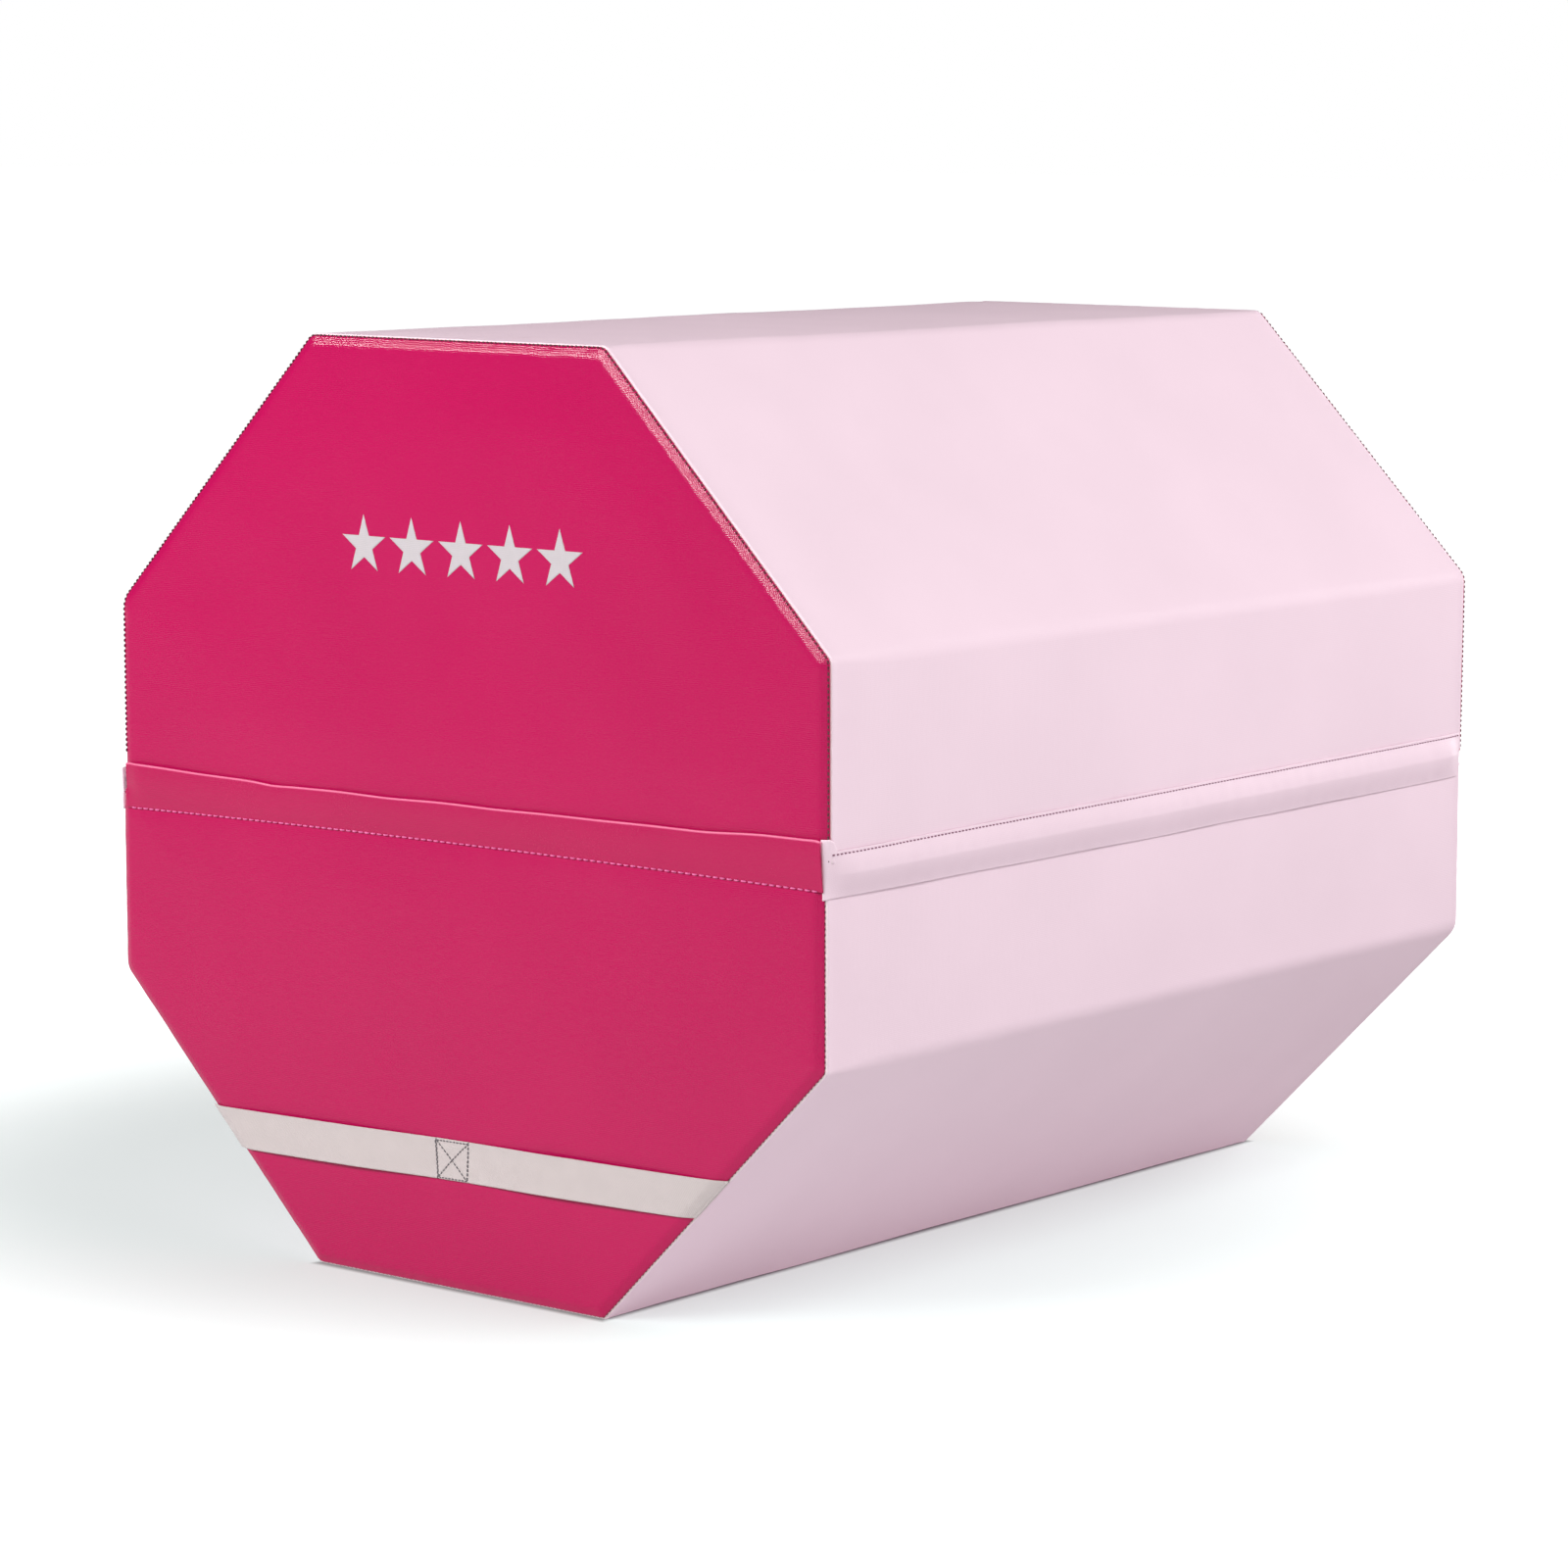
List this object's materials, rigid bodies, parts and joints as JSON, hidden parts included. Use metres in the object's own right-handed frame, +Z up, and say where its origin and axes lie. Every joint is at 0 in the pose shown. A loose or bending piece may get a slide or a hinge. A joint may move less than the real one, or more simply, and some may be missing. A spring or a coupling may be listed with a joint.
{
  "type": "folding octagon tumbler mat",
  "caption": "Soft octagonal foam gymnastics tumbler in hinged halves, with end and side closing flaps, carrying straps and zipped vinyl covers.",
  "frame": {"origin": "middle of the flat that the tumbler rests on", "axes": "+Y along the prism from the front end to the rear end, +Z up, +X towards the side with the cloth hinge"},
  "size_m": [0.6442, 0.7712, 0.635],
  "materials": {
    "foam": "closed-cell foam",
    "pale_pink_vinyl": "satin coated cloth",
    "magenta_vinyl": "satin embossed coated cloth",
    "inner_vinyl": "satin coated cloth",
    "zip_tape": "woven polyester",
    "zip_nylon": "nylon coil",
    "zip_metal": "enamelled zinc",
    "loop_tape": "brushed nylon loop",
    "hook_tape": "nylon hook",
    "webbing": "woven polyester webbing",
    "thread": "bonded polyester thread"
  },
  "bodies": {
    "lower_half": {"front_handle_box_stitch": "thread", "front_handle_strap": "webbing", "hinge_strip": "pale_pink_vinyl", "lower_foam_slab_1": "foam", "lower_foam_slab_2": "foam", "lower_foam_slab_3": "foam", "lower_foam_slab_4": "foam", "lower_foam_slab_5": "foam", "lower_foam_slab_6": "foam", "lower_front_end_panel": "magenta_vinyl", "lower_inner_panel_left": "inner_vinyl", "lower_inner_panel_right": "inner_vinyl", "lower_rear_end_panel": "magenta_vinyl", "lower_wrap_cover": "pale_pink_vinyl", "lower_zip_coil_left": "zip_nylon", "lower_zip_coil_right": "zip_nylon", "lower_zip_stops": "zip_nylon", "lower_zip_tape_left": "zip_tape", "lower_zip_tape_right": "zip_tape", "rear_handle_box_stitch": "thread", "rear_handle_strap": "webbing"},
    "upper_half": {"upper_foam_slab_1": "foam", "upper_foam_slab_2": "foam", "upper_foam_slab_3": "foam", "upper_foam_slab_4": "foam", "upper_foam_slab_5": "foam", "upper_foam_slab_6": "foam", "upper_front_end_panel": "magenta_vinyl", "upper_front_loop_tape": "loop_tape", "upper_inner_panel_left": "inner_vinyl", "upper_inner_panel_right": "inner_vinyl", "upper_left_loop_tape": "loop_tape", "upper_rear_end_panel": "magenta_vinyl", "upper_rear_loop_tape": "loop_tape", "upper_wrap_cover": "pale_pink_vinyl", "upper_zip_coil_left": "zip_nylon", "upper_zip_coil_right": "zip_nylon", "upper_zip_stops": "zip_nylon", "upper_zip_tape_left": "zip_tape", "upper_zip_tape_right": "zip_tape"},
    "front_flap": {"front_flap": "magenta_vinyl", "front_hook_tape": "hook_tape"},
    "rear_flap": {"rear_flap": "magenta_vinyl", "rear_hook_tape": "hook_tape"},
    "left_flap": {"left_flap": "pale_pink_vinyl", "left_hook_tape": "hook_tape"},
    "lower_zip_slider": {"lower_zip_slider": "zip_metal"},
    "upper_zip_slider": {"upper_zip_slider": "zip_metal"}
  },
  "joints": [
    {"name": "halves_hinge", "type": "hinge", "parent": "lower_half", "child": "upper_half", "pos_m": [0.3215, 0, 0.3175], "axis": [0, 1, 0], "range_deg": [0, 180], "deforming": ["hinge_strip"]},
    {"name": "front_flap_hinge", "type": "hinge", "parent": "lower_half", "child": "front_flap", "pos_m": [0, -0.3829, 0.2995], "axis": [1, 0, 0], "range_deg": [0, 170]},
    {"name": "rear_flap_hinge", "type": "hinge", "parent": "lower_half", "child": "rear_flap", "pos_m": [0, 0.3829, 0.2995], "axis": [-1, 0, 0], "range_deg": [0, 170]},
    {"name": "left_flap_hinge", "type": "hinge", "parent": "lower_half", "child": "left_flap", "pos_m": [-0.3194, 0, 0.2995], "axis": [0, -1, 0], "range_deg": [0, 170]},
    {"name": "lower_zip_slide", "type": "slide", "parent": "lower_half", "child": "lower_zip_slider", "axis": [0, 1, 0], "range_m": [0, 0.71], "deforming": ["lower_zip_coil_left", "lower_zip_coil_right"]},
    {"name": "upper_zip_slide", "type": "slide", "parent": "upper_half", "child": "upper_zip_slider", "axis": [0, 1, 0], "range_m": [0, 0.71], "deforming": ["upper_zip_coil_left", "upper_zip_coil_right"]}
  ]
}
